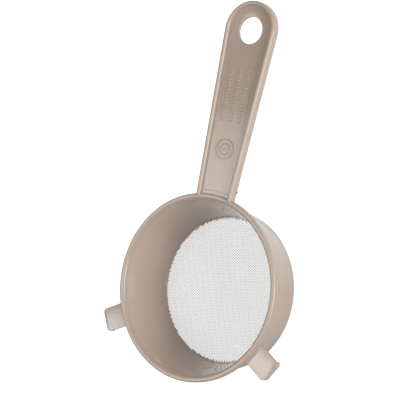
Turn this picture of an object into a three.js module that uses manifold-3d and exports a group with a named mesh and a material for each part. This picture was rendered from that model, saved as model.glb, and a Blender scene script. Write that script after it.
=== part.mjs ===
// Flour sifter: a round tapered cup with a woven mesh floor, a rolled rim, a long flanged handle
// and two rest lugs that hook over the edge of a bowl.
//
// Frame (mm): +Z up through the open mouth, +X along the handle, the base ring standing on z = 0.
// The origin is the middle of the sifter's footprint, and the sifter is symmetric about y = 0.
// The helper functions work about the cup's own axis; the whole group is then moved along X.

import * as THREE from 'three';
import { mergeVertices } from 'three/addons/utils/BufferGeometryUtils.js';
import Module from 'manifold-3d';

const wasm = await Module();
wasm.setup();

// ---- driving dimensions, mm ----------------------------------------------------------------

const SEAM = 0.3; // clearance left between pieces that touch
const AROUND = 96; // facets around the cup

const CUP_HEIGHT = 37;
const RIM_RADIUS = 60; // outside of the rim
const RIM_WIDTH = 4;
const RIM_HEIGHT = 3.6;
const RIM_EDGE = 1.2; // rounding of the rim's two upper edges

const WALL = 1.6; // at the rim; the wall thickens towards its foot
const WALL_TOP_RADIUS = 57.6; // outside of the wall, just under the rim
const WALL_FOOT_RADIUS = 52.6; // outside of the wall, just above the base ring

const BASE_RADIUS = 52.3; // outside of the base ring
const BASE_HEIGHT = 3;
const BASE_FLOOR = 0.85; // the ring's web under the edge of the mesh
const BASE_LIP = 2; // the ring's upstand around the edge of the mesh
const MESH_OPENING = 47; // radius of the mesh that shows
const MESH_THICKNESS = 0.5;

const HANDLE_TOP = CUP_HEIGHT + 0.9;
const HANDLE_TIP = 184.8; // from the cup's axis
const TIP_RADIUS = 18.7; // half the handle's width at its round end
const ROOT_HALF_WIDTH = 13.5; // half the handle's width where it meets the rim
const BORDER_WIDTH = 2.8;
const BORDER_HEIGHT = 6;
const BORDER_EDGE = 0.8; // rounding of the border's edges
const WEB_DEPTH = 2.2; // how far the web lies below the top of the border
const WEB_THICKNESS = 2;
const HANG_HOLE_RADIUS = 8.7;

const LUG_ANGLE = Math.PI / 3; // each lug, from the side opposite the handle
const LUG_HALF_WIDTH = 7.75;
const LUG_REACH = 76.4; // outer end, from the cup's axis
const LUG_TOP = CUP_HEIGHT - 3.3;
const LUG_THICKNESS = 1.8;
const LUG_CORNER = 2.5; // plan rounding of the outer corners
const LIP_WIDTH = 2;
const LIP_DEPTH = 4.5; // whole height of the turned-down end

// ---- worked out from them ------------------------------------------------------------------

const WALL_TOP = CUP_HEIGHT - RIM_HEIGHT - SEAM;
const WALL_BOTTOM = BASE_HEIGHT + SEAM;
const MESH_BOTTOM = BASE_FLOOR + SEAM;
const MESH_TOP = MESH_BOTTOM + MESH_THICKNESS;
const MESH_RADIUS = BASE_RADIUS - BASE_LIP - SEAM;
const ROOT_RADIUS = RIM_RADIUS + SEAM; // where the handle and lugs stop, from the cup's axis
const TIP_CENTRE = HANDLE_TIP - TIP_RADIUS;
const ORIGIN_X = (HANDLE_TIP - RIM_RADIUS) / 2; // middle of the footprint, from the cup's axis

// ---- materials -----------------------------------------------------------------------------

function plastic() {
  return new THREE.MeshStandardMaterial({ color: 0xc8b6a8, roughness: 0.3, metalness: 0 });
}

function meshCloth() {
  return new THREE.MeshStandardMaterial({ color: 0xe6e6e4, roughness: 0.5, metalness: 0 });
}

// ---- solids --------------------------------------------------------------------------------

function onlyPositions(geometry) {
  const bare = geometry.index ? geometry.clone() : mergeVertices(geometry);
  bare.deleteAttribute('normal');
  bare.deleteAttribute('uv');
  return mergeVertices(bare, 1e-4);
}

function toSolid(geometry) {
  const merged = onlyPositions(geometry);
  const mesh = new wasm.Mesh({
    numProp: 3,
    vertProperties: new Float32Array(merged.attributes.position.array),
    triVerts: new Uint32Array(merged.index.array),
  });
  return new wasm.Manifold(mesh);
}

function toGeometry(solid) {
  const mesh = solid.getMesh();
  const geometry = new THREE.BufferGeometry();
  geometry.setAttribute('position', new THREE.BufferAttribute(mesh.vertProperties, mesh.numProp));
  geometry.setIndex(new THREE.BufferAttribute(mesh.triVerts, 1));
  geometry.computeVertexNormals();
  return geometry;
}

function named(name, geometry, material) {
  const mesh = new THREE.Mesh(geometry, material);
  mesh.name = name;
  return mesh;
}

// A ring about Z. The profile holds (radius, height) points, listed anticlockwise.
function turned(profile) {
  const closed = [...profile, profile[0]];
  const points = closed.map(([radius, height]) => new THREE.Vector2(radius, height));
  return new THREE.LatheGeometry(points, AROUND).rotateX(Math.PI / 2);
}

// Points on an arc in the (radius, height) plane, from one angle to another, in degrees.
function arc(centreRadius, centreHeight, size, from, to, steps) {
  return Array.from({ length: steps + 1 }, (_, i) => {
    const angle = THREE.MathUtils.degToRad(from + ((to - from) * i) / steps);
    return [centreRadius + size * Math.cos(angle), centreHeight + size * Math.sin(angle)];
  });
}

// A plan outline raised from one height to another, with its edges rounded by `edge`.
function plate(outline, bottom, top, edge, curveSegments) {
  const geometry = new THREE.ExtrudeGeometry(outline, {
    depth: top - bottom - 2 * edge,
    bevelEnabled: edge > 0,
    bevelThickness: edge,
    bevelSize: edge,
    bevelOffset: -edge,
    bevelSegments: 3,
    curveSegments,
  });
  return geometry.translate(0, 0, bottom + edge);
}

// ---- the cup -------------------------------------------------------------------------------

function rimBead() {
  const outer = RIM_RADIUS - RIM_EDGE;
  const inner = RIM_RADIUS - RIM_WIDTH + RIM_EDGE;
  const crown = CUP_HEIGHT - RIM_EDGE;
  const foot = CUP_HEIGHT - RIM_HEIGHT;
  return turned([
    [RIM_RADIUS - RIM_WIDTH, foot],
    ...arc(RIM_RADIUS - RIM_EDGE / 2, foot + RIM_EDGE / 2, RIM_EDGE / 2, -90, 0, 3),
    ...arc(outer, crown, RIM_EDGE, 0, 90, 4),
    ...arc(inner, crown, RIM_EDGE, 90, 180, 4),
  ]);
}

// The wall leans out towards the rim. Its inside leans more, and runs straight in to the mesh.
function cupWall() {
  const stepRadius = MESH_RADIUS - SEAM;
  return turned([
    [MESH_OPENING, MESH_TOP + SEAM],
    [stepRadius, MESH_TOP + SEAM],
    [stepRadius, WALL_BOTTOM],
    [WALL_FOOT_RADIUS, WALL_BOTTOM],
    [WALL_TOP_RADIUS, WALL_TOP],
    [WALL_TOP_RADIUS - WALL, WALL_TOP],
  ]);
}

// The ring the sifter stands on: a flat floor under the edge of the mesh and a lip around it.
function baseRing() {
  return turned([
    [MESH_OPENING, 0],
    ...arc(BASE_RADIUS - 1, 1, 1, -90, 0, 3),
    [BASE_RADIUS, BASE_HEIGHT],
    [BASE_RADIUS - BASE_LIP, BASE_HEIGHT],
    [BASE_RADIUS - BASE_LIP, BASE_FLOOR],
    [MESH_OPENING, BASE_FLOOR],
  ]);
}

// The woven cloth as a plain disc that fills the space the threads take up.
function meshScreen() {
  const disc = new THREE.CylinderGeometry(MESH_RADIUS, MESH_RADIUS, MESH_THICKNESS, AROUND);
  disc.rotateX(Math.PI / 2);
  return disc.translate(0, 0, (MESH_BOTTOM + MESH_TOP) / 2);
}

// ---- the handle ----------------------------------------------------------------------------

// The handle's sides spread towards its round end. `inset` moves the whole edge inwards.
// Both edges of the outline are tangent to the round end, and its root follows the rim.
function handleEdge(inset) {
  const spread = Math.asin((TIP_RADIUS - ROOT_HALF_WIDTH) / (TIP_CENTRE - ROOT_RADIUS));
  const radius = TIP_RADIUS - inset;
  const tangent = new THREE.Vector2(
    TIP_CENTRE - radius * Math.sin(spread),
    radius * Math.cos(spread),
  );
  const slope = Math.tan(spread);
  // Where the straight side crosses the circle of the rim.
  const offset = tangent.y - slope * tangent.x;
  const a = 1 + slope * slope;
  const b = 2 * slope * offset;
  const c = offset * offset - ROOT_RADIUS * ROOT_RADIUS;
  const x = (-b + Math.sqrt(b * b - 4 * a * c)) / (2 * a);
  const root = new THREE.Vector2(x, slope * x + offset);
  return { spread, radius, tangent, root, rootAngle: Math.atan2(root.y, root.x) };
}

// The flat web between the borders, with the hole it hangs by.
function handleWeb() {
  const { spread, radius, rootAngle, tangent } = handleEdge(BORDER_WIDTH + SEAM);
  const outline = new THREE.Shape();
  outline.absarc(0, 0, ROOT_RADIUS, rootAngle, -rootAngle, true);
  outline.lineTo(tangent.x, -tangent.y);
  outline.absarc(TIP_CENTRE, 0, radius, -Math.PI / 2 - spread, Math.PI / 2 + spread, false);
  outline.closePath();
  const hole = new THREE.Path();
  hole.absarc(TIP_CENTRE, 0, HANG_HOLE_RADIUS, 0, 2 * Math.PI, false);
  outline.holes.push(hole);
  const top = HANDLE_TOP - WEB_DEPTH;
  return plate(outline, top - WEB_THICKNESS, top, 0, 24);
}

// The raised border runs up one side, round the tip and back down the other side.
function handleBorder() {
  const outside = handleEdge(0);
  const inside = handleEdge(BORDER_WIDTH);
  const { spread } = outside;
  const outline = new THREE.Shape();
  outline.moveTo(outside.root.x, -outside.root.y);
  outline.lineTo(outside.tangent.x, -outside.tangent.y);
  outline.absarc(
    TIP_CENTRE, 0, outside.radius, -Math.PI / 2 - spread, Math.PI / 2 + spread, false,
  );
  outline.lineTo(outside.root.x, outside.root.y);
  outline.lineTo(inside.root.x, inside.root.y);
  outline.lineTo(inside.tangent.x, inside.tangent.y);
  outline.absarc(
    TIP_CENTRE, 0, inside.radius, Math.PI / 2 + spread, -Math.PI / 2 - spread, true,
  );
  outline.lineTo(inside.root.x, -inside.root.y);
  outline.closePath();
  return plate(outline, HANDLE_TOP - BORDER_HEIGHT, HANDLE_TOP, BORDER_EDGE, 24);
}

// ---- the rest lugs -------------------------------------------------------------------------

// A lug along +X: a flat tab with round corners whose outer end turns down to hook on a bowl.
function restLug() {
  const rootAngle = Math.asin(LUG_HALF_WIDTH / ROOT_RADIUS);
  const cornerX = LUG_REACH - LUG_CORNER;
  const cornerY = LUG_HALF_WIDTH - LUG_CORNER;
  const outline = new THREE.Shape();
  outline.absarc(0, 0, ROOT_RADIUS, rootAngle, -rootAngle, true);
  outline.absarc(cornerX, -cornerY, LUG_CORNER, -Math.PI / 2, 0, false);
  outline.absarc(cornerX, cornerY, LUG_CORNER, 0, Math.PI / 2, false);
  outline.closePath();
  const block = toSolid(plate(outline, LUG_TOP - LIP_DEPTH, LUG_TOP, 0.4, 10));
  const hookLength = LUG_REACH - LIP_WIDTH;
  const hookDepth = LIP_DEPTH - LUG_THICKNESS;
  const below = new THREE.BoxGeometry(hookLength, 4 * LUG_HALF_WIDTH, 2 * hookDepth);
  below.translate(hookLength / 2, 0, LUG_TOP - LIP_DEPTH);
  return toGeometry(block.subtract(toSolid(below)));
}

function lugAt(name, angle) {
  const lug = named(name, restLug(), plastic());
  lug.rotation.z = angle;
  return lug;
}

// ---- assembly ------------------------------------------------------------------------------

const cup = new THREE.Group();
cup.add(
  named('cup_wall', cupWall(), plastic()),
  named('rim_bead', rimBead(), plastic()),
  named('base_ring', baseRing(), plastic()),
  named('mesh_screen', meshScreen(), meshCloth()),
);

const handle = new THREE.Group();
handle.add(
  named('handle_web', handleWeb(), plastic()),
  named('handle_border', handleBorder(), plastic()),
);

const lugs = new THREE.Group();
lugs.add(
  lugAt('left_rest_lug', Math.PI - LUG_ANGLE),
  lugAt('right_rest_lug', Math.PI + LUG_ANGLE),
);

const sifter = new THREE.Group();
sifter.add(cup, handle, lugs);
sifter.position.x = -ORIGIN_X;

export default sifter;
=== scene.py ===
"""Flour sifter: a moulded plastic cup with a woven mesh floor, a flanged handle and hooked lugs.

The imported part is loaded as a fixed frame, and the finished surfaces are modelled around it: the
cup, its rim and base ring, the handle with its raised marks, the two rest lugs, and the cloth as
two sets of woven threads with plastic flash around their ends. Lengths are in metres, in the
part's own frame: +X along the handle, +Z up through the open mouth, the base ring standing on
z = 0.
"""

import logging
import math
from dataclasses import dataclass
from enum import Enum
from typing import Callable, Mapping, Sequence, Union

import bmesh
import bpy
import numpy as np
from mathutils import Matrix, Vector


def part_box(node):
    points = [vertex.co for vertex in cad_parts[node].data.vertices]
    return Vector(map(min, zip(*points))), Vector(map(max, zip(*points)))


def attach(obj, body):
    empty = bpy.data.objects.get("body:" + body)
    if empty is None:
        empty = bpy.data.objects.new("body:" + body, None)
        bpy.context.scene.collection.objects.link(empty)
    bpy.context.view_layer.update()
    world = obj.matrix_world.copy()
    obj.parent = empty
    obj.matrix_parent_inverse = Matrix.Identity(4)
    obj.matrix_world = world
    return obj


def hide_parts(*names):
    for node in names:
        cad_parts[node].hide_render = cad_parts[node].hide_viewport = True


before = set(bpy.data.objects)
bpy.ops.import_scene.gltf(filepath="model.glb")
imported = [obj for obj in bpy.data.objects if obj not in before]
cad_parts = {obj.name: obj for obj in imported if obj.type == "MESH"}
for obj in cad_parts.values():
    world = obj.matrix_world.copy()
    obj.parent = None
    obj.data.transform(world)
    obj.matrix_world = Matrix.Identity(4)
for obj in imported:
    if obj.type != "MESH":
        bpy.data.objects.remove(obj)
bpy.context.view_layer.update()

BODY = "root"
PLASTIC = "body_plastic"
CLOTH = "mesh_cloth"
MM = 0.001
FULL_TURN = 2 * math.pi
MERGED = 1e-7  # vertices closer than this become one
NEAR = 1e-6  # a corner closer than this to a line or a level lies on it
CLEAR = 0.01 * MM  # how far past a surface a test plane is set
ON_LOOP = 0.02 * MM  # how far a vertex may lie from the loop that it belongs to

log = logging.getLogger("sifter")


# ---- where the frame puts things --------------------------------------------------------------


@dataclass(frozen=True)
class Plan:
    """The sizes and places that every piece is worked out from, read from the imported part."""

    axis_x: float
    rim_radius: float
    rim_top: float
    rim_bottom: float
    wall_radius: float
    base_radius: float
    base_height: float
    cloth_z: float
    cloth_radius: float
    handle_top: float
    handle_bottom: float
    tip_x: float
    tip_radius: float
    web_top: float
    web_bottom: float
    lug_top: float
    lug_bottom: float

    @classmethod
    def from_frame(cls) -> "Plan":
        """Measures the CAD nodes.

        Returns:
            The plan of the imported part.
        """
        rim_low, rim_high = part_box("rim_bead")
        wall_low, wall_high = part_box("cup_wall")
        base_low, base_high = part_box("base_ring")
        cloth_low, cloth_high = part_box("mesh_screen")
        border_low, border_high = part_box("handle_border")
        web_low, web_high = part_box("handle_web")
        lug_low, lug_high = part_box("left_rest_lug")
        return cls(
            axis_x=(rim_low.x + rim_high.x) / 2,
            rim_radius=(rim_high.x - rim_low.x) / 2,
            rim_top=rim_high.z,
            rim_bottom=rim_low.z,
            wall_radius=(wall_high.x - wall_low.x) / 2,
            base_radius=(base_high.x - base_low.x) / 2,
            base_height=base_high.z,
            cloth_z=(cloth_low.z + cloth_high.z) / 2,
            cloth_radius=(cloth_high.x - cloth_low.x) / 2,
            handle_top=border_high.z,
            handle_bottom=border_low.z,
            tip_x=border_high.x,
            tip_radius=border_high.y,
            web_top=web_high.z,
            web_bottom=web_low.z,
            lug_top=lug_high.z,
            lug_bottom=lug_low.z,
        )

    @property
    def axis(self) -> Vector:
        """The point where the cup's axis meets the surface it stands on."""
        return Vector((self.axis_x, 0.0, 0.0))


# ---- modelling --------------------------------------------------------------------------------


class Kind(Enum):
    """The parts of a mesh that can be selected, each with the operators' word for it."""

    VERTS = "VERT"
    EDGES = "EDGE"
    FACES = "FACE"


@dataclass(frozen=True)
class Bevel:
    """How an edge is rounded: how far back on each side, and in how many steps."""

    width: float
    segments: int


class Workpiece:
    """One mesh while it is modelled with edit-mode operators, its object kept at the origin."""

    def __init__(self, name: str, primitive: Callable[..., object], **options: object) -> None:
        """Adds a primitive at its size and place and opens it in edit mode.

        Args:
            name: The piece's name.
            primitive: The operator that adds the primitive.
            **options: The operator's own settings.
        """
        bpy.ops.object.select_all(action="DESELECT")
        primitive(**options)
        self.object = bpy.context.active_object
        self.object.name = name
        self.object.data.name = name
        bpy.ops.object.transform_apply(location=True, rotation=True, scale=True)
        bpy.ops.object.mode_set(mode="EDIT")
        bpy.ops.mesh.select_mode(type="VERT")
        bpy.ops.mesh.select_all(action="SELECT")

    def select(self, kind: Kind, test: Callable[[Sequence[Vector]], bool]) -> "Workpiece":
        """Selects the vertices, edges or faces whose corners pass a test.

        Args:
            kind: Which of them.
            test: Takes the list of corner positions.

        Returns:
            This workpiece.
        """
        bpy.ops.mesh.select_mode(type=kind.value)
        bpy.ops.mesh.select_all(action="DESELECT")
        mesh = bmesh.from_edit_mesh(self.object.data)
        for part in getattr(mesh, kind.name.lower()):
            corners = [part.co] if kind is Kind.VERTS else [v.co for v in part.verts]
            if test(corners):
                part.select_set(True)
        mesh.select_flush_mode()
        bmesh.update_edit_mesh(self.object.data)
        return self

    def select_all(self) -> "Workpiece":
        """Selects the whole mesh."""
        bpy.ops.mesh.select_all(action="SELECT")
        return self

    def extrude(self, offset: Sequence[float]) -> "Workpiece":
        """Extrudes what is selected by an offset."""
        bpy.ops.mesh.extrude_region_move(TRANSFORM_OT_translate={"value": tuple(offset)})
        return self

    def move(self, offset: Sequence[float]) -> "Workpiece":
        """Moves what is selected."""
        bpy.ops.transform.translate(value=tuple(offset))
        return self

    def scale(self, factors: Sequence[float], centre: Sequence[float]) -> "Workpiece":
        """Scales what is selected about a centre."""
        bpy.ops.transform.resize(value=tuple(factors), center_override=tuple(centre))
        return self

    def cut(self, point: Sequence[float], normal: Sequence[float], clear: bool) -> "Workpiece":
        """Cuts through what is selected along a plane.

        Args:
            point: A point on the plane.
            normal: The plane's normal.
            clear: Whether the side behind the plane is taken away.

        Returns:
            This workpiece.
        """
        bpy.ops.mesh.bisect(
            plane_co=tuple(point), plane_no=tuple(normal), clear_inner=clear, threshold=MERGED
        )
        return self

    def bevel(self, bevel: Bevel) -> "Workpiece":
        """Rounds the selected edges."""
        bpy.ops.mesh.bevel(offset=bevel.width, segments=bevel.segments, affect="EDGES")
        return self

    def close(self) -> "Workpiece":
        """Merges doubled vertices and turns every face outwards.

        Returns:
            This workpiece.
        """
        bpy.ops.mesh.select_all(action="SELECT")
        bpy.ops.mesh.remove_doubles(threshold=MERGED)
        bpy.ops.mesh.normals_make_consistent(inside=False)
        return self

    def modify(self, kind: str, **settings: object) -> "Workpiece":
        """Adds a modifier and applies it.

        Args:
            kind: The modifier's type.
            **settings: Its settings.

        Returns:
            This workpiece.
        """
        bpy.ops.object.mode_set(mode="OBJECT")
        modifier = self.object.modifiers.new(kind.title(), kind)
        for key, value in settings.items():
            setattr(modifier, key, value)
        bpy.ops.object.modifier_apply(modifier=modifier.name)
        bpy.ops.object.mode_set(mode="EDIT")
        return self

    def repeat(self, count: int, step: Sequence[float], join: float = 0.0) -> "Workpiece":
        """Repeats the whole mesh in a row.

        Args:
            count: How many there are in all.
            step: The way from one to the next.
            join: How close the ends of neighbours are when they are joined, 0 for not at all.

        Returns:
            This workpiece.
        """
        return self.modify(
            "ARRAY",
            count=count,
            use_relative_offset=False,
            use_constant_offset=True,
            constant_offset_displace=tuple(step),
            use_merge_vertices=join > 0,
            merge_threshold=join,
        )

    def done(self, smooth_angle: float = math.radians(35)) -> bpy.types.Object:
        """Leaves edit mode and shades the piece smooth across shallow edges.

        Args:
            smooth_angle: Edges sharper than this stay crisp.

        Returns:
            The finished object.
        """
        bpy.ops.object.mode_set(mode="OBJECT")
        bpy.ops.object.shade_smooth_by_angle(angle=smooth_angle)
        self.object.select_set(False)
        return self.object


def turned(
    name: str,
    profile: Sequence[tuple[float, float]],
    axis: Vector,
    steps: int,
    rounds: Sequence[tuple[float, float, Bevel]],
) -> bpy.types.Object:
    """Draws a closed outline, spins it about a vertical axis and rounds some of its edges.

    Args:
        name: The piece's name.
        profile: The outline's corners as (radius, height).
        axis: A point on the vertical axis.
        steps: Facets around.
        rounds: The corners to round, each with its bevel.

    Returns:
        The finished piece.
    """
    corners = [Vector((axis.x + radius, 0.0, height)) for radius, height in profile]
    piece = Workpiece(name, bpy.ops.mesh.primitive_plane_add, size=MM, location=corners[0])
    bpy.ops.mesh.merge(type="CENTER")
    for here, there in zip(corners, corners[1:]):
        piece.extrude(there - here)
    ends = (corners[0], corners[-1])
    piece.select(Kind.VERTS, lambda at: min((at[0] - end).length for end in ends) < NEAR)
    bpy.ops.mesh.edge_face_add()
    piece.select_all()
    bpy.ops.mesh.spin(steps=steps, angle=FULL_TURN, center=axis, axis=(0, 0, 1))
    piece.close()
    for radius, height, bevel in rounds:
        piece.select(Kind.EDGES, ring_at(axis, radius, height)).bevel(bevel)
    return piece.done()


def ring_at(axis: Vector, radius: float, height: float) -> Callable[[Sequence[Vector]], bool]:
    """Makes a test for the edge loop that lies at one radius and height.

    Args:
        axis: A point on the vertical axis.
        radius: The loop's radius.
        height: The loop's height.

    Returns:
        The test, for Workpiece.select.
    """

    def test(at: Sequence[Vector]) -> bool:
        """Tells whether a part is on the loop.

        Args:
            at: The part's corners.

        Returns:
            Whether all of them are on it.
        """
        return all(
            abs(math.hypot(p.x - axis.x, p.y - axis.y) - radius) < ON_LOOP
            and abs(p.z - height) < ON_LOOP
            for p in at
        )

    return test


# ---- materials --------------------------------------------------------------------------------

Colour = tuple[float, float, float]
Value = Union["Field", float, Sequence[float]]
MIX_FIRST, MIX_SECOND, MIX_RESULT = 6, 7, 2  # a Mix node's sockets for colours, by their order


@dataclass(frozen=True)
class Grain:
    """A layer of fractal noise: its waves in a metre, how fine and rough it is, its stretch."""

    scale: float
    detail: float
    roughness: float = 0.5
    stretch: tuple[float, float, float] = (1.0, 1.0, 1.0)


class Field:
    """A socket that varies over a surface, with Python's arithmetic on it."""

    def __init__(self, board: "Board", socket: bpy.types.NodeSocket) -> None:
        """Wraps an output socket."""
        self.board = board
        self.socket = socket

    def _math(self, operation: str, first: Value, second: Value) -> "Field":
        """Adds a Math node that works an operation on two values."""
        values = {0: first, 1: second}
        return self.board.add("ShaderNodeMath", {"operation": operation}, values)

    def __add__(self, other: Value) -> "Field":
        """Returns self + other."""
        return self._math("ADD", self, other)

    def __radd__(self, other: Value) -> "Field":
        """Returns other + self."""
        return self._math("ADD", other, self)

    def __sub__(self, other: Value) -> "Field":
        """Returns self - other."""
        return self._math("SUBTRACT", self, other)

    def __rsub__(self, other: Value) -> "Field":
        """Returns other - self."""
        return self._math("SUBTRACT", other, self)

    def __mul__(self, other: Value) -> "Field":
        """Returns self * other."""
        return self._math("MULTIPLY", self, other)

    def __rmul__(self, other: Value) -> "Field":
        """Returns other * self."""
        return self._math("MULTIPLY", other, self)

    def __truediv__(self, other: Value) -> "Field":
        """Returns self / other."""
        return self._math("DIVIDE", self, other)

    def __pow__(self, other: Value) -> "Field":
        """Returns self ** other."""
        return self._math("POWER", self, other)


class Board:
    """The node tree of a material or a light."""

    def __init__(self, owner: bpy.types.ID) -> None:
        """Starts an empty tree.

        Args:
            owner: The material or light that it belongs to.
        """
        self.owner = owner
        owner.use_nodes = True
        self.tree = owner.node_tree
        self.tree.nodes.clear()

    @classmethod
    def material(cls, name: str) -> "Board":
        """Starts a new material."""
        return cls(bpy.data.materials.new(name))

    def add(
        self,
        kind: str,
        settings: Mapping[str, object] | None = None,
        values: Mapping[str | int, Value] | None = None,
        output: str | int = 0,
    ) -> Field:
        """Adds a node.

        Args:
            kind: The node's type.
            settings: Its settings, set first.
            values: What goes into its sockets: numbers, colours or fields.
            output: Which of its outputs is wanted.

        Returns:
            That output.
        """
        node = self.tree.nodes.new(kind)
        for key, value in (settings or {}).items():
            setattr(node, key, value)
        for key, value in (values or {}).items():
            if isinstance(value, Field):
                self.tree.links.new(value.socket, node.inputs[key])
            else:
                node.inputs[key].default_value = value
        return Field(self, node.outputs[output])

    def place(self) -> Field:
        """The point on the piece."""
        return self.add("ShaderNodeTexCoord", output="Object")

    def part_of(self, vector: Field, letter: str) -> Field:
        """One of a vector's three numbers, named X, Y or Z."""
        return self.add("ShaderNodeSeparateXYZ", values={0: vector}, output=letter)

    def vector(self, operation: str, *values: Value, output: str = "Vector") -> Field:
        """Adds a Vector Math node, whose output is "Value" where the result is a number."""
        inputs = dict(enumerate(values))
        return self.add("ShaderNodeVectorMath", {"operation": operation}, inputs, output)

    def noise(self, grain: Grain) -> Field:
        """Lays a grain over the piece.

        Args:
            grain: The layer of noise.

        Returns:
            The noise, from 0 to 1.
        """
        at = self.vector("MULTIPLY", self.place(), [grain.scale * s for s in grain.stretch])
        values = {"Vector": at, "Scale": 1.0, "Detail": grain.detail, "Roughness": grain.roughness}
        return self.add("ShaderNodeTexNoise", {"noise_dimensions": "3D"}, values, "Fac")

    def step(self, value: Field, start: float, end: float, low: float, high: float) -> Field:
        """Takes a value from low to high, smoothly, while it goes from start to end.

        Args:
            value: The value.
            start: Where the step starts.
            end: Where it ends.
            low: The result before it.
            high: The result after it.

        Returns:
            The result.
        """
        values = {"From Min": start, "From Max": end, "To Min": low, "To Max": high}
        settings = {"interpolation_type": "SMOOTHSTEP"}
        return self.add("ShaderNodeMapRange", settings, {"Value": value, **values})

    def between(self, share: Field, first: Colour, second: Colour) -> Field:
        """Mixes two colours."""
        values = {0: share, MIX_FIRST: (*first, 1.0), MIX_SECOND: (*second, 1.0)}
        return self.add("ShaderNodeMix", {"data_type": "RGBA"}, values, MIX_RESULT)

    def finish(self, shader: Field, kind: str = "ShaderNodeOutputMaterial") -> bpy.types.ID:
        """Connects the shader to the surface output.

        Args:
            shader: The finished shader.
            kind: The output node's type.

        Returns:
            The material or light.
        """
        output = self.tree.nodes.new(kind)
        self.tree.links.new(shader.socket, output.inputs["Surface"])
        return self.owner


@dataclass(frozen=True)
class MouldedPlastic:
    """Glossy injection-moulded plastic, with faint flow clouds, handling haze and orange peel."""

    name: str = "moulded_taupe_plastic"
    light: Colour = (0.455, 0.36, 0.29)
    dark: Colour = (0.42, 0.33, 0.265)
    gloss: float = 0.13
    haze: float = 0.06
    skin: float = 0.3
    skin_gloss: float = 0.04
    ior: float = 1.5
    core_gloss: float = 0.3
    core_skin: float = 1.0
    clouds: Grain = Grain(45.0, 4.0, 0.55)
    cloud_share: float = 0.7
    streaks: Grain = Grain(160.0, 3.0, stretch=(0.35, 1.0, 1.0))
    smears: Grain = Grain(90.0, 5.0, 0.6, (1.0, 0.6, 1.0))
    peel: Grain = Grain(900.0, 2.0)
    peel_height: float = 0.002 * MM
    waves: Grain = Grain(70.0, 1.0)
    wave_height: float = 0.10 * MM

    def polished_part(self, board: Board) -> Field | None:
        """Tells where the mould was polished, from 0 to 1; nowhere on most pieces."""
        return None

    def make(self) -> bpy.types.Material:
        """Builds the material.

        Returns:
            The finished material.
        """
        board = Board.material(self.name)
        clouds, streaks = board.noise(self.clouds), board.noise(self.streaks)
        tone = clouds * self.cloud_share + streaks * (1 - self.cloud_share)
        roughness = board.noise(self.smears) * self.haze + (self.gloss - self.haze / 2)
        skin = self.skin
        polished = self.polished_part(board)
        if polished is not None:
            roughness = roughness * (1 - polished * (1 - self.core_gloss))
            skin = polished * (self.core_skin - self.skin) + self.skin
        peel = board.noise(self.peel) * self.peel_height
        relief = peel + board.noise(self.waves) * self.wave_height
        bump = {"Height": relief, "Strength": 1.0, "Distance": 1.0}
        shader = board.add(
            "ShaderNodeBsdfPrincipled",
            values={
                "Base Color": board.between(tone, self.dark, self.light),
                "Roughness": roughness,
                "Normal": board.add("ShaderNodeBump", values=bump, output="Normal"),
                "IOR": self.ior,
                "Coat Weight": skin,
                "Coat Roughness": self.skin_gloss,
            },
        )
        return board.finish(shader)


@dataclass(frozen=True)
class SatinPlastic(MouldedPlastic):
    """The same plastic with the duller skin of the rim and of the handle's border."""

    name: str = "satin_taupe_plastic"
    gloss: float = 0.32
    haze: float = 0.08
    skin: float = 0.4
    skin_gloss: float = 0.28


@dataclass(frozen=True)
class BrightPlastic(MouldedPlastic):
    """The same plastic with the clearer skin of the lugs."""

    name: str = "bright_taupe_plastic"
    gloss: float = 0.2
    skin: float = 0.9
    skin_gloss: float = 0.15


@dataclass(frozen=True)
class CupPlastic(MouldedPlastic):
    """The same plastic on the wall, with painted light: its colour is paler than the other pieces'
    to stand in for more light falling on the wall. It is moulded inside against a polished core.
    """

    name: str = "cup_plastic_painted_paler"
    # painted light: these colours are paler than the plastic elsewhere, so the wall looks more
    # strongly lit
    light: Colour = (0.50, 0.395, 0.32)
    dark: Colour = (0.46, 0.36, 0.29)
    ior: float = 1.55
    skin: float = 0.0
    core_skin: float = 0.8
    axis: tuple[float, float, float] = (0.0, 0.0, 0.0)
    foot_radius: float = 50.5 * MM
    slope: float = 0.22
    blend: float = 0.5 * MM

    def polished_part(self, board: Board) -> Field:
        """Tells the wall's inside from its outside.

        Args:
            board: The material's node tree.

        Returns:
            1 inside, 0 outside.
        """
        place = board.place()
        level = board.vector("MULTIPLY", board.vector("SUBTRACT", place, self.axis), (1, 1, 0))
        radius = board.vector("LENGTH", level, output="Value")
        middle = board.part_of(place, "Z") * self.slope + self.foot_radius
        return board.add("ShaderNodeClamp", values={"Value": (middle - radius) / self.blend})


@dataclass(frozen=True)
class Monofilament:
    """White nylon thread, a little uneven in brightness and gloss along its length."""

    name: str = "white_monofilament"
    light: Colour = (0.70, 0.705, 0.715)
    dark: Colour = (0.56, 0.565, 0.575)
    gloss: float = 0.38
    haze: float = 0.12
    ior: float = 1.53
    uneven: Grain = Grain(400.0, 2.0)

    def make(self) -> bpy.types.Material:
        """Builds the material.

        Returns:
            The finished material.
        """
        board = Board.material(self.name)
        uneven = board.noise(self.uneven)
        colour = board.between(uneven, self.dark, self.light)
        roughness = uneven * self.haze + self.gloss
        values = {"Base Color": colour, "Roughness": roughness, "IOR": self.ior}
        return board.finish(board.add("ShaderNodeBsdfPrincipled", values=values))


@dataclass(frozen=True)
class Finishes:
    """The finished materials: the skins that the mould gives to the plastic, the wall's copy
    painted paler to stand in for more light, and the cloth.
    """

    plain: bpy.types.Material
    cup: bpy.types.Material
    satin: bpy.types.Material
    bright: bpy.types.Material
    cloth: bpy.types.Material

    @classmethod
    def make(cls, plan: Plan) -> "Finishes":
        """Builds the materials.

        Args:
            plan: Where the cup's axis is.

        Returns:
            The set of finishes.
        """
        return cls(
            plain=MouldedPlastic().make(),
            cup=CupPlastic(axis=tuple(plan.axis)).make(),
            satin=SatinPlastic().make(),
            bright=BrightPlastic().make(),
            cloth=Monofilament().make(),
        )


# ---- the cup ----------------------------------------------------------------------------------


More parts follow.
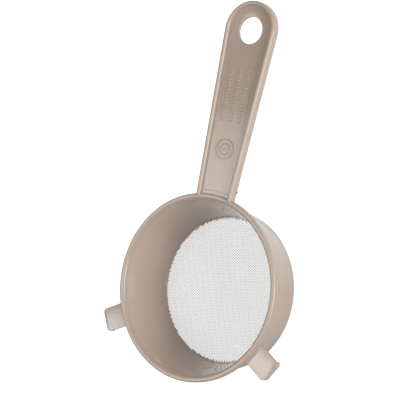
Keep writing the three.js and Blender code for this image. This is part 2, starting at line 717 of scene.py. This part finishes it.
def dress(piece: bpy.types.Object, material: bpy.types.Material, slot: str, *nodes: str) -> None:
    """Gives a finished piece its material and its body, and hides the CAD nodes that it replaces.

    Args:
        piece: The finished object.
        material: Its only material.
        slot: The record's material slot; not used.
        *nodes: The CAD nodes that it replaces.
    """
    piece.data.materials.clear()
    piece.data.materials.append(material)
    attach(piece, BODY)
    if nodes:
        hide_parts(*nodes)
    log.info("%s: %d faces", piece.name, len(piece.data.polygons))


@dataclass
class Cup:
    """The tapered wall, the rim that stands proud of it, and the base ring."""

    plan: Plan
    steps: int = 192
    rim_lean: float = 0.5 * MM
    rim_outer_round: Bevel = Bevel(1.1 * MM, 10)
    rim_inner_round: Bevel = Bevel(1.6 * MM, 10)
    rim_lower_round: Bevel = Bevel(0.5 * MM, 5)
    wall: float = 1.6 * MM
    tongue: float = 1.0 * MM
    foot_radius: float = 52.6 * MM
    opening: float = 47.6 * MM
    ring_lip: float = 2.4 * MM
    ring_round: Bevel = Bevel(1.2 * MM, 6)
    opening_round: Bevel = Bevel(0.3 * MM, 4)
    seam_round: Bevel = Bevel(0.12 * MM, 3)

    @property
    def mouth_radius(self) -> float:
        """The wall's inside radius where it meets the rim."""
        return self.plan.wall_radius - self.wall

    def make_rim(self) -> bpy.types.Object:
        """Models the rim.

        Returns:
            The finished rim.
        """
        plan = self.plan
        outer, low, high = plan.rim_radius, plan.rim_bottom, plan.rim_top
        inner = self.mouth_radius
        inner_top = inner + self.rim_lean
        corners = [(inner, low), (outer, low), (outer, high), (inner_top, high)]
        rounds = [
            (outer, high, self.rim_outer_round),
            (inner_top, high, self.rim_inner_round),
            (outer, low, self.rim_lower_round),
        ]
        return turned("rim", corners, plan.axis, self.steps, rounds)

    def make_wall(self) -> bpy.types.Object:
        """Models the wall, straight outside and inside, which thickens towards its foot.

        Returns:
            The finished wall.
        """
        plan = self.plan
        step = plan.base_radius - self.ring_lip
        corners = [
            (self.opening, plan.cloth_z),
            (step, plan.cloth_z),
            (step, plan.base_height),
            (self.foot_radius, plan.base_height),
            (plan.wall_radius, plan.rim_bottom),
            (plan.wall_radius - self.wall / 2, plan.rim_bottom + self.tongue),
            (self.mouth_radius, plan.rim_bottom),
        ]
        rounds = [(self.foot_radius, plan.base_height, self.seam_round)]
        return turned("cup_wall_shell", corners, plan.axis, self.steps, rounds)

    def make_base(self) -> bpy.types.Object:
        """Models the ring that the sifter stands on, which traps the edge of the cloth.

        Returns:
            The finished ring.
        """
        plan = self.plan
        outer, height = plan.base_radius, plan.base_height
        step = outer - self.ring_lip
        corners = [
            (self.opening, 0.0),
            (outer, 0.0),
            (outer, height),
            (step, height),
            (step, plan.cloth_z),
            (self.opening, plan.cloth_z),
        ]
        rounds = [
            (outer, 0.0, self.ring_round),
            (self.opening, 0.0, self.opening_round),
            (outer, height, self.seam_round),
        ]
        return turned("base_foot_ring", corners, plan.axis, self.steps, rounds)

    def build(self, finishes: Finishes) -> None:
        """Makes and dresses the cup's pieces.

        Args:
            finishes: The finished materials.
        """
        dress(self.make_rim(), finishes.satin, PLASTIC, "rim_bead")
        dress(self.make_wall(), finishes.cup, PLASTIC, "cup_wall")
        dress(self.make_base(), finishes.plain, PLASTIC, "base_ring")


# ---- the woven screen -------------------------------------------------------------------------


def positions(mesh: bpy.types.Mesh) -> np.ndarray:
    """Reads where a mesh's vertices are.

    Args:
        mesh: The mesh, out of edit mode.

    Returns:
        One row of x, y and z for each vertex.
    """
    at = np.empty(len(mesh.vertices) * 3)
    mesh.vertices.foreach_get("co", at)
    return at.reshape(-1, 3)


class Family(Enum):
    """The two sets of threads in the cloth."""

    WARP = 0
    WEFT = 1


@dataclass
class Screen:
    """Plain-woven cloth across the foot of the cup, with plastic flash around its ends."""

    plan: Plan
    pitch: float = 1.30 * MM
    thread_radius: float = 0.18 * MM
    warp_direction: float = math.radians(61)
    crossing_angle: float = math.radians(84)
    belly: float = 0.5 * MM
    sides: int = 6
    rings: int = 6
    join: float = 0.009 * MM
    smooth_angle: float = math.radians(60)
    shortest: float = 3.0 * MM
    open_radius: float = 46.9 * MM
    flash_width: float = 2.4 * MM
    flash_height: float = 1.0 * MM

    @property
    def wave(self) -> float:
        """The length of one whole over-and-under of a thread."""
        return 2 * self.pitch / math.sin(self.crossing_angle)

    def _one_wave(self, name: str, rise: float) -> Workpiece:
        """Models one wave of one thread along X.

        Args:
            name: The piece's name.
            rise: How far the thread rises where it goes over, negative where it goes under.

        Returns:
            The workpiece, in edit mode.
        """
        wave = self.wave
        piece = Workpiece(
            name,
            bpy.ops.mesh.primitive_cylinder_add,
            vertices=self.sides,
            radius=self.thread_radius,
            depth=wave,
            end_fill_type="NOTHING",
            location=(wave / 2, 0, 0),
            rotation=(0, math.pi / 2, 0),
        )
        piece.select(Kind.EDGES, lambda at: abs(at[0].x - at[1].x) > wave / 2)
        bpy.ops.mesh.subdivide(number_cuts=self.rings - 1)
        for ring in range(self.rings + 1):
            x = wave * ring / self.rings
            piece.select(Kind.VERTS, lambda at: abs(at[0].x - x) < wave / (4 * self.rings))
            piece.move((0, 0, rise * math.cos(FULL_TURN * ring / self.rings)))
        return piece

    def make(self, family: Family) -> bpy.types.Object:
        """Weaves one set of threads.

        Args:
            family: Which set.

        Returns:
            The finished set.
        """
        is_warp = family is Family.WARP
        sign = 1 if is_warp else -1
        direction = self.warp_direction + (0 if is_warp else self.crossing_angle)
        lean = sign * self.pitch / math.tan(self.crossing_angle)
        reach = self.plan.cloth_radius
        half = math.ceil(reach / (2 * self.pitch))
        waves = math.ceil((reach + half * abs(2 * lean)) / self.wave) + 1
        piece = self._one_wave(f"{family.name.lower()}_threads", sign * self.thread_radius)
        piece.repeat(2 * waves, (self.wave, 0, 0), self.join)
        piece.repeat(2, (lean + self.wave / 2, self.pitch, 0))
        piece.repeat(2 * half + 1, (2 * lean, 2 * self.pitch, 0))
        piece.select_all().move((-waves * self.wave - 2 * half * lean, -2 * half * self.pitch, 0))
        self._trim(piece, reach)
        bpy.ops.mesh.fill_holes(sides=self.sides)
        bpy.ops.mesh.select_all(action="SELECT")
        bpy.ops.mesh.normals_make_consistent(inside=False)
        finished = piece.done(self.smooth_angle)
        self._lay(finished, direction)
        return finished

    def _trim(self, piece: Workpiece, reach: float) -> None:
        """Cuts every thread off at the cloth's edge, at right angles.

        Args:
            piece: The threads, along X and centred on the origin.
            reach: The cloth's radius.
        """
        bpy.ops.mesh.select_mode(type="VERT")
        bpy.ops.object.mode_set(mode="OBJECT")
        mesh = piece.object.data
        at = positions(mesh)
        thread_y = np.round(at[:, 1] / self.pitch) * self.pitch
        half_length = np.sqrt(np.clip(reach**2 - thread_y**2, 0, None))
        outside = (np.abs(at[:, 0]) > half_length) | (half_length < self.shortest)
        mesh.polygons.foreach_set("select", np.zeros(len(mesh.polygons), bool))
        mesh.edges.foreach_set("select", np.zeros(len(mesh.edges), bool))
        mesh.vertices.foreach_set("select", outside)
        bpy.ops.object.mode_set(mode="EDIT")
        bpy.ops.mesh.delete(type="VERT")
        bpy.ops.mesh.select_all(action="SELECT")

    def _lay(self, piece: bpy.types.Object, direction: float) -> None:
        """Turns the threads, lays them at the foot of the cup and lets the cloth belly down.

        Args:
            piece: The threads, along X and centred on the origin.
            direction: The angle they run at.
        """
        plan = self.plan
        mesh = piece.data
        mesh.transform(Matrix.Rotation(direction, 4, "Z"))
        at = positions(mesh)
        share = (at[:, 0] ** 2 + at[:, 1] ** 2) / plan.cloth_radius**2
        at[:, 2] += plan.cloth_z - self.belly * np.clip(1 - share, 0, None)
        at[:, 0] += plan.axis_x
        mesh.vertices.foreach_set("co", at.ravel())
        mesh.update()

    def make_flash(self) -> bpy.types.Object:
        """Models the plastic that has filled the outermost squares of the cloth, in steps.

        Returns:
            The finished flash.
        """
        plan = self.plan
        squares = 2 * math.ceil(plan.cloth_radius / self.pitch)
        piece = Workpiece(
            "cloth_edge_flash",
            bpy.ops.mesh.primitive_grid_add,
            x_subdivisions=squares,
            y_subdivisions=squares,
            size=squares * self.pitch,
        )
        bpy.ops.object.mode_set(mode="OBJECT")
        skew = Matrix.Identity(4)
        skew[0][0] = 1 / math.sin(self.crossing_angle)
        skew[0][1] = 1 / math.tan(self.crossing_angle)
        piece.object.data.transform(Matrix.Rotation(self.warp_direction, 4, "Z") @ skew)
        bpy.ops.object.mode_set(mode="EDIT")
        inner, outer = self.open_radius, self.open_radius + self.flash_width

        def is_clear(at: Sequence[Vector]) -> bool:
            """Tells whether a square stays open, or lies beyond the flash."""
            return not inner < (sum(at, Vector()) / len(at)).length < outer

        piece.select(Kind.FACES, is_clear)
        bpy.ops.mesh.delete(type="FACE")
        piece.select_all().move(plan.axis + Vector((0, 0, plan.cloth_z - self.flash_height / 2)))
        piece.extrude((0, 0, self.flash_height))
        return piece.close().done()

    def build(self, finishes: Finishes) -> None:
        """Makes and dresses both sets of threads, and the plastic around their ends.

        Args:
            finishes: The finished materials.
        """
        for family in Family:
            dress(self.make(family), finishes.cloth, CLOTH, "mesh_screen")
        dress(self.make_flash(), finishes.plain, PLASTIC)


# ---- the handle -------------------------------------------------------------------------------


@dataclass
class Handle:
    """The long handle: a recessed web with its hanging hole, and a raised border around it."""

    plan: Plan
    around: int = 96
    root_half_width: float = 13.5 * MM
    root_radius: float = 57.0 * MM
    border_width: float = 2.8 * MM
    border_round: Bevel = Bevel(1.25 * MM, 6)
    border_lower_round: Bevel = Bevel(0.5 * MM, 6)
    foot_round: Bevel = Bevel(1.3 * MM, 6)
    foot_slant: float = 1.6 * MM
    hole_radius: float = 8.7 * MM
    hole_round: Bevel = Bevel(0.35 * MM, 4)
    overlap: float = 0.8 * MM
    neck: float = 16.0 * MM

    @property
    def tip_centre(self) -> Vector:
        """The centre of the round end, on the plan."""
        return Vector((self.plan.tip_x - self.plan.tip_radius, 0.0, 0.0))

    @property
    def root_x(self) -> float:
        """Where the handle's own pieces end, on the rim."""
        return self.plan.axis_x + self.root_radius

    @property
    def taper(self) -> float:
        """How much the half width shrinks for each unit of length towards the rim."""
        rim_x = self.plan.axis_x + self.plan.rim_radius
        return (self.plan.tip_radius - self.root_half_width) / (self.tip_centre.x - rim_x)

    def half_width(self, x: float) -> float:
        """Half the handle's width along its straight sides."""
        return self.plan.tip_radius - self.taper * (self.tip_centre.x - x)

    def web_half_width(self, x: float) -> float:
        """Half the web's width along its straight sides, which reach into the border."""
        return self.half_width(x) - self.border_width + self.overlap

    def make_border(self) -> bpy.types.Object:
        """Models the raised border as one bar, up one side, round the tip and down the other.

        Returns:
            The finished border.
        """
        plan = self.plan
        centre = self.tip_centre
        piece = Workpiece(
            "handle_border_bar",
            bpy.ops.mesh.primitive_circle_add,
            vertices=self.around,
            radius=plan.tip_radius,
            fill_type="NOTHING",
            location=(centre.x, 0, plan.handle_bottom),
        )
        piece.cut(centre, (1, 0, 0), clear=True)
        for side in (1, -1):
            foot_y = self.half_width(self.root_x) * side
            piece.select(
                Kind.VERTS, lambda at: abs(at[0].x - centre.x) < NEAR and at[0].y * side > 0
            )
            piece.extrude((self.root_x - centre.x, foot_y - side * plan.tip_radius, 0))
        piece.select_all().extrude((0, 0, plan.handle_top - plan.handle_bottom))
        piece.close()
        piece.modify("SOLIDIFY", thickness=self.border_width, offset=-1.0, use_even_offset=True)
        piece.close()
        root_end = self.root_x + MM
        piece.select(
            Kind.EDGES,
            lambda at: all(p.x < root_end for p in at) and abs(at[0].z - at[1].z) > MM,
        )
        piece.bevel(self.foot_round)
        middle = (plan.handle_top + plan.handle_bottom) / 2
        foot_end = self.root_x + 2 * self.foot_round.width
        piece.select(Kind.VERTS, lambda at: at[0].x < foot_end and at[0].z < middle)
        piece.move((-self.foot_slant, 0, 0))
        for level, bevel in (
            (plan.handle_top, self.border_round),
            (plan.handle_bottom, self.border_lower_round),
        ):
            piece.select(
                Kind.EDGES,
                lambda at: all(abs(p.z - level) < NEAR for p in at) and self._on_outline(at),
            )
            piece.bevel(bevel)
        return piece.close().done()

    def _on_outline(self, at: Sequence[Vector]) -> bool:
        """Tells whether an edge runs along the bar and not across it.

        Args:
            at: The edge's two ends.

        Returns:
            Whether it is part of the bar's outline.
        """
        first, second = at
        along = second - first
        middle = (first + second) / 2
        if middle.x > self.tip_centre.x:
            radial = Vector((middle.x - self.tip_centre.x, middle.y, 0)).normalized()
            return abs(along.normalized().dot(radial)) < math.cos(math.radians(60))
        if min(first.x, second.x) < self.root_x + 2 * self.foot_round.width:
            return True
        return abs(along.x) > abs(along.y)

    def make_web(self) -> bpy.types.Object:
        """Models the web: a round plate with the hole in it, which runs on down to the rim.

        Returns:
            The finished web.
        """
        plan = self.plan
        centre = self.tip_centre
        centre_low = (centre.x, 0, plan.web_bottom)
        piece = Workpiece(
            "handle_web_plate",
            bpy.ops.mesh.primitive_circle_add,
            vertices=self.around,
            radius=self.hole_radius,
            fill_type="NOTHING",
            location=centre_low,
        )
        outer = plan.tip_radius - self.border_width + self.overlap
        growth = outer / self.hole_radius
        piece.extrude((0, 0, 0)).scale((growth, growth, 1), centre_low)
        middle_radius = (outer + self.hole_radius) / 2
        piece.select(
            Kind.VERTS,
            lambda at: (at[0] - Vector(centre_low)).length > middle_radius
            and at[0].x < centre.x - NEAR,
        )
        neck_x = centre.x - self.neck
        at_neck, at_root = self.web_half_width(neck_x), self.web_half_width(self.root_x)
        piece.scale((0, at_neck / outer, 1), (neck_x, 0, plan.web_bottom))
        piece.select(Kind.EDGES, lambda at: all(abs(p.x - neck_x) < NEAR for p in at))
        piece.extrude((self.root_x - neck_x, 0, 0))
        piece.scale((1, at_root / at_neck, 1), (self.root_x, 0, plan.web_bottom))
        piece.select_all().extrude((0, 0, plan.web_top - plan.web_bottom))
        piece.close()

        def on_hole(at: Sequence[Vector]) -> bool:
            """Tells whether an edge is on the rim of the hole.

            Args:
                at: The edge's two ends.

            Returns:
                Whether both are on it, at one height.
            """
            return abs(at[0].z - at[1].z) < NEAR and all(
                abs(math.hypot(p.x - centre.x, p.y) - self.hole_radius) < CLEAR for p in at
            )

        piece.select(Kind.EDGES, on_hole).bevel(self.hole_round)
        return piece.close().done()

    def build(self, finishes: Finishes) -> None:
        """Makes and dresses the handle's pieces."""
        dress(self.make_border(), finishes.satin, PLASTIC, "handle_border")
        dress(self.make_web(), finishes.plain, PLASTIC, "handle_web")


@dataclass
class WebMarks:
    """Small raised things: plain bars, rings and a dot on the web, mould lines, the gate's stub."""

    plan: Plan
    height: float = 0.5 * MM
    rows: tuple[float, ...] = (-6.2 * MM, 0.4 * MM, 7.0 * MM)
    rows_start: float = 107.5 * MM
    bars: int = 16
    bar_pitch: float = 2.2 * MM
    bar_size: tuple[float, float] = (1.1 * MM, 2.6 * MM)
    bar_corner: Bevel = Bevel(0.495 * MM, 3)
    bar_top: Bevel = Bevel(0.3 * MM, 2)
    ring_place: float = 89.4 * MM
    ring_radii: tuple[float, ...] = (6.3 * MM, 3.6 * MM)
    ring_wire: float = 0.7 * MM
    ring_round: Bevel = Bevel(0.28 * MM, 3)
    ring_steps: int = 72
    dot_radius: float = 1.2 * MM
    dot_round: Bevel = Bevel(0.35 * MM, 4)
    dot_sides: int = 36
    line_radius: float = 62.3 * MM
    line_spread: float = math.radians(9)
    line_wire: float = 0.14 * MM
    line_sides: int = 8
    line_steps: int = 24
    panel: tuple[float, float] = (46.0 * MM, 21.0 * MM)
    panel_place: float = 123.5 * MM
    panel_line: float = 0.35 * MM
    panel_height: float = 0.10 * MM
    stub: tuple[float, float, float] = (1.5 * MM, 1.2 * MM, 1.1 * MM)
    stub_place: tuple[float, float] = (64.2 * MM, -14.0 * MM)
    stub_round: Bevel = Bevel(0.33 * MM, 4)

    def make_bars(self) -> bpy.types.Object:
        """Models one bar and repeats it along and across the web.

        Returns:
            All the bars.
        """
        plan = self.plan
        length, width = self.bar_size
        piece = Workpiece(
            "web_grip_bars",
            bpy.ops.mesh.primitive_cube_add,
            size=1,
            location=(plan.axis_x + self.rows_start, self.rows[0], plan.web_top),
            scale=(length, width, 2 * self.height),
        )
        upper = plan.web_top + self.height / 2
        piece.select(Kind.EDGES, lambda at: abs(at[0].z - at[1].z) > self.height)
        piece.bevel(self.bar_corner)
        piece.select(Kind.EDGES, lambda at: all(p.z > upper for p in at)).bevel(self.bar_top)
        piece.repeat(self.bars, (self.bar_pitch, 0, 0))
        piece.repeat(len(self.rows), (0, self.rows[1] - self.rows[0], 0))
        return piece.close().done()

    def make_ring(self, name: str, radius: float) -> bpy.types.Object:
        """Turns one plain raised ring.

        Args:
            name: The piece's name.
            radius: The middle of the ring's line.

        Returns:
            The finished ring.
        """
        plan = self.plan
        centre = Vector((plan.axis_x + self.ring_place, 0, 0))
        low, high = plan.web_top - self.height, plan.web_top + self.height
        inner, outer = radius - self.ring_wire / 2, radius + self.ring_wire / 2
        corners = [(inner, low), (outer, low), (outer, high), (inner, high)]
        rounds = [(edge, high, self.ring_round) for edge in (inner, outer)]
        return turned(name, corners, centre, self.ring_steps, rounds)

    def make_dot(self) -> bpy.types.Object:
        """Models the raised dot in the middle of the rings.

        Returns:
            The finished dot.
        """
        plan = self.plan
        piece = Workpiece(
            "web_ring_dot",
            bpy.ops.mesh.primitive_cylinder_add,
            vertices=self.dot_sides,
            radius=self.dot_radius,
            depth=2 * self.height,
            location=(plan.axis_x + self.ring_place, 0, plan.web_top),
        )
        piece.select(Kind.EDGES, lambda at: all(p.z > plan.web_top for p in at))
        return piece.bevel(self.dot_round).close().done()

    def make_line(self) -> bpy.types.Object:
        """Models the faint line that the mould leaves across the web, round the rim.

        Returns:
            The finished line.
        """
        plan = self.plan
        start_x = plan.axis_x + self.line_radius * math.cos(self.line_spread)
        start_y = -self.line_radius * math.sin(self.line_spread)
        piece = Workpiece(
            "web_witness_line",
            bpy.ops.mesh.primitive_circle_add,
            vertices=self.line_sides,
            radius=self.line_wire,
            fill_type="NGON",
            location=(start_x, start_y, plan.web_top),
            rotation=(math.pi / 2, 0, -self.line_spread),
        )
        sweep = 2 * self.line_spread
        bpy.ops.mesh.spin(steps=self.line_steps, angle=sweep, center=plan.axis, axis=(0, 0, -1))
        return piece.close().done()

    def make_panel(self) -> bpy.types.Object:
        """Models the outline that the mould's insert leaves around the bars.

        Returns:
            The finished outline.
        """
        plan = self.plan
        low = plan.web_top - self.panel_height
        centre = (plan.axis_x + self.panel_place, self.rows[1], low)
        piece = Workpiece(
            "web_panel_outline", bpy.ops.mesh.primitive_plane_add, size=1, location=centre
        )
        piece.scale((*self.panel, 1), centre)
        bpy.ops.mesh.select_mode(type="FACE")
        bpy.ops.mesh.inset(thickness=self.panel_line)
        bpy.ops.mesh.delete(type="FACE")
        piece.select_all().extrude((0, 0, 2 * self.panel_height))
        return piece.close().done()

    def make_stub(self) -> bpy.types.Object:
        """Models the stub that is left low on the handle's side, where the plastic flowed in.

        Returns:
            The finished stub.
        """
        x, y = self.stub_place
        z = self.plan.handle_bottom + self.stub[2] / 2
        piece = Workpiece(
            "handle_gate_stub",
            bpy.ops.mesh.primitive_cube_add,
            size=1,
            location=(self.plan.axis_x + x, y, z),
            scale=self.stub,
        )
        return piece.bevel(self.stub_round).close().done()

    def build(self, finishes: Finishes) -> None:
        """Makes and dresses the marks.

        Args:
            finishes: The finished materials.
        """
        rings = [
            self.make_ring(f"web_plain_ring_{number}", radius)
            for number, radius in enumerate(self.ring_radii, start=1)
        ]
        others = [self.make_bars(), self.make_dot(), self.make_line(), self.make_panel()]
        for piece in (*rings, *others, self.make_stub()):
            dress(piece, finishes.plain, PLASTIC)


# ---- the rest lugs ----------------------------------------------------------------------------


class Side(Enum):
    """The two lugs, each with the way it lies from the side opposite the handle."""

    LEFT = 1
    RIGHT = -1


@dataclass
class RestLug:
    """A flat tab with round corners whose outer end turns down to hook on a bowl."""

    plan: Plan
    spread: float = math.radians(60)
    half_width: float = 7.75 * MM
    root: float = 58.5 * MM
    reach: float = 76.4 * MM
    thickness: float = 1.8 * MM
    corner: Bevel = Bevel(2.5 * MM, 8)
    lip_width: float = 2.0 * MM
    edge_round: Bevel = Bevel(0.4 * MM, 4)
    edge_angle: float = math.radians(40)
    face_weight: int = 90
    root_hollow: float = 1.6 * MM
    root_steps: int = 6

    def make(self, side: Side) -> bpy.types.Object:
        """Models one lug along +X and swings it round the cup.

        Args:
            side: Which lug.

        Returns:
            The finished lug.
        """
        plan = self.plan
        length = self.reach - self.root
        tab_bottom = plan.lug_top - self.thickness
        piece = Workpiece(
            f"{side.name.lower()}_lug_tab",
            bpy.ops.mesh.primitive_cube_add,
            size=1,
            location=(self.root + length / 2, 0, plan.lug_top - self.thickness / 2),
            scale=(length, 2 * self.half_width, self.thickness),
        )
        far = self.reach - CLEAR
        piece.select(
            Kind.EDGES, lambda at: all(p.x > far for p in at) and abs(at[0].z - at[1].z) > MM
        )
        piece.bevel(self.corner)
        lip_x = self.reach - self.lip_width
        piece.select_all().cut((lip_x, 0, 0), (1, 0, 0), clear=False)
        under = tab_bottom + CLEAR
        piece.select(Kind.FACES, lambda at: all(p.z < under and p.x > lip_x - NEAR for p in at))
        piece.extrude((0, 0, plan.lug_bottom - tab_bottom))
        piece.close()
        piece.modify(
            "BEVEL",
            width=self.edge_round.width,
            segments=self.edge_round.segments,
            limit_method="ANGLE",
            angle_limit=self.edge_angle,
        )
        self._blend_root(piece)
        piece.close().modify("WEIGHTED_NORMAL", keep_sharp=True, weight=self.face_weight)
        finished = piece.done()
        turn = Matrix.Rotation(math.pi - side.value * self.spread, 4, "Z")
        finished.data.transform(Matrix.Translation(plan.axis) @ turn)
        return finished

    def _blend_root(self, piece: Workpiece) -> None:
        """Sweeps the lug's top up to the rim in a hollow curve.

        Args:
            piece: The lug, along X.
        """
        plan = self.plan
        top = plan.lug_top - CLEAR
        shares = [step / self.root_steps for step in range(self.root_steps)]
        for share in (*shares, 1.0):
            place = plan.rim_radius + self.root_hollow * share
            piece.select_all().cut((place, 0, 0), (1, 0, 0), clear=False)
        near = self.root_hollow / (3 * self.root_steps)
        for share in shares:
            place = plan.rim_radius + self.root_hollow * share
            inner = place - near if share else self.root - near
            rise = self.root_hollow * (1 - math.sqrt(1 - (1 - share) ** 2))
            piece.select(Kind.VERTS, lambda at: at[0].z > top and inner < at[0].x < place + near)
            piece.move((0, 0, rise))

    def build(self, finishes: Finishes) -> None:
        """Makes and dresses both lugs."""
        for side in Side:
            dress(self.make(side), finishes.bright, PLASTIC, f"{side.name.lower()}_rest_lug")


# ---- studio -----------------------------------------------------------------------------------


@dataclass(frozen=True)
class Softbox:
    """A soft light that faces the cup and fades out towards its edges; its angles in degrees."""

    name: str
    azimuth: float
    elevation: float
    distance: float
    width: float
    height: float
    power: float
    falloff: float

    def hang(self, target: Vector) -> None:
        """Hangs the light and turns it to the target.

        Args:
            target: The point that it faces.
        """
        a, e = math.radians(self.azimuth), math.radians(self.elevation)
        away = Vector((math.cos(a) * math.cos(e), math.sin(a) * math.cos(e), math.sin(e)))
        data = bpy.data.lights.new(self.name, "AREA")
        data.shape = "RECTANGLE"
        data.size = self.width
        data.size_y = self.height
        data.energy = self.power
        board = Board(data)
        spot = board.add("ShaderNodeNewGeometry", output="Parametric")
        across, along = board.part_of(spot, "X"), board.part_of(spot, "Y")
        brightest = 0.5**4  # what the product comes to in the light's middle
        glow = (across * (1 - across) * along * (1 - along) / brightest) ** self.falloff
        emission = board.add("ShaderNodeEmission", values={"Strength": glow})
        board.finish(emission, "ShaderNodeOutputLight")
        light = bpy.data.objects.new(self.name, data)
        light.location = target + away * self.distance
        light.rotation_euler = away.to_track_quat("Z", "Y").to_euler()
        light.visible_camera = False
        bpy.context.scene.collection.objects.link(light)


@dataclass
class Studio:
    """A pale floor, soft lights, and a camera that looks down on the sifter, handle upwards."""

    plan: Plan
    azimuth: float = math.radians(2.74)
    elevation: float = math.radians(54.62)
    roll: float = math.radians(-80.05)
    distance: float = 830.8 * MM
    aim: tuple[float, float] = (54.55 * MM, 9.51 * MM)
    lens: float = 117.44
    floor_size: float = 12.0
    floor_dark: Colour = (0.21, 0.21, 0.21)
    floor_light: Colour = (0.23, 0.23, 0.23)
    floor_gloss: float = 0.7
    floor_grain: Grain = Grain(30.0, 2.0)
    floor_glow: float = 1.0
    glow_seen: Colour = (1.0, 1.0, 1.0)
    glow_spread: Colour = (0.06, 0.06, 0.06)
    glow_mirrored: tuple[float, float] = (0.28, 0.9)
    glow_rise: tuple[float, float] = (0.0, 50.0 * MM)
    glow_fade: float = 1.05
    sky_colour: tuple[float, float, float, float] = (1.0, 1.0, 1.0, 1.0)
    sky_strength: float = 0.18
    softboxes: tuple[Softbox, ...] = (
        Softbox(
            name="right_softbox",
            azimuth=-82,
            elevation=16,
            distance=1.3,
            width=1.0,
            height=0.6,
            power=25.5,
            falloff=0.5,
        ),
        Softbox(
            name="left_softbox",
            azimuth=106,
            elevation=57,
            distance=1.5,
            width=0.82,
            height=0.66,
            power=7.6,
            falloff=0.3,
        ),
        Softbox(
            name="overhead_softbox",
            azimuth=-60,
            elevation=86,
            distance=1.2,
            width=0.7,
            height=0.7,
            power=5.5,
            falloff=0.3,
        ),
    )

    def make_camera(self) -> None:
        """Places the camera."""
        a, e = self.azimuth, self.elevation
        back = Vector((math.sin(a) * math.cos(e), -math.cos(a) * math.cos(e), math.sin(e)))
        right = (-back).cross(Vector((0, 0, 1))).normalized()
        up = right.cross(-back)
        turn = Matrix((right, up, back)).transposed() @ Matrix.Rotation(self.roll, 3, "Z")
        aim = self.plan.axis + Vector((*self.aim, self.plan.rim_top))
        data = bpy.data.cameras.new("camera")
        data.lens = self.lens
        camera = bpy.data.objects.new("camera", data)
        camera.matrix_world = Matrix.Translation(aim + back * self.distance) @ turn.to_4x4()
        bpy.context.scene.collection.objects.link(camera)
        bpy.context.scene.camera = camera

    def _floor_glow(self, board: Board) -> Field:
        """Works out the floor's own light.

        It is white to look at and gives little light. What the plastic mirrors of it is bright
        under the cup and towards the handle, and dimmer elsewhere.

        Args:
            board: The floor's node tree.

        Returns:
            The light's colour.
        """
        plan = self.plan
        place = board.place()
        from_axis = board.vector("DISTANCE", place, plan.axis, output="Value")
        edge, fade = plan.cloth_radius, self.glow_fade
        under_cup = board.step(from_axis, edge / fade, edge * fade, 1.0, 0.0)
        start, end = (plan.axis_x + rise for rise in self.glow_rise)
        around = board.step(board.part_of(place, "X"), start, end, *self.glow_mirrored)
        seen = board.add("ShaderNodeLightPath", output="Is Camera Ray")
        mirrored = board.add("ShaderNodeLightPath", output="Is Glossy Ray")
        share = seen + mirrored * (under_cup * (1 - around) + around)
        return board.between(share, self.glow_spread, self.glow_seen)

    def make_floor(self) -> None:
        """Lays the floor, which glows like a light table."""
        board = Board.material("pale_floor")
        paper = board.noise(self.floor_grain)
        shader = board.add(
            "ShaderNodeBsdfPrincipled",
            values={
                "Base Color": board.between(paper, self.floor_dark, self.floor_light),
                "Roughness": self.floor_gloss,
                "Emission Color": self._floor_glow(board),
                "Emission Strength": self.floor_glow,
            },
        )
        bpy.ops.object.select_all(action="DESELECT")
        bpy.ops.mesh.primitive_plane_add(size=self.floor_size, location=(0, 0, 0))
        floor = bpy.context.active_object
        floor.name = "floor"
        floor.data.materials.append(board.finish(shader))

    def build(self) -> None:
        """Makes the camera, the floor and the lights."""
        self.make_camera()
        self.make_floor()
        for softbox in self.softboxes:
            softbox.hang(self.plan.axis)
        world = bpy.data.worlds.new("surround")
        world.use_nodes = True
        sky = world.node_tree.nodes["Background"]
        sky.inputs["Color"].default_value = self.sky_colour
        sky.inputs["Strength"].default_value = self.sky_strength
        bpy.context.scene.world = world
        bpy.context.scene.view_settings.view_transform = "Standard"


def main() -> None:
    """Builds the sifter piece by piece, then the studio."""
    logging.basicConfig(level=logging.INFO, format="%(name)s: %(message)s")
    plan = Plan.from_frame()
    finishes = Finishes.make(plan)
    Cup(plan).build(finishes)
    Screen(plan).build(finishes)
    Handle(plan).build(finishes)
    WebMarks(plan).build(finishes)
    RestLug(plan).build(finishes)
    Studio(plan).build()


if __name__ == "__main__":
    main()
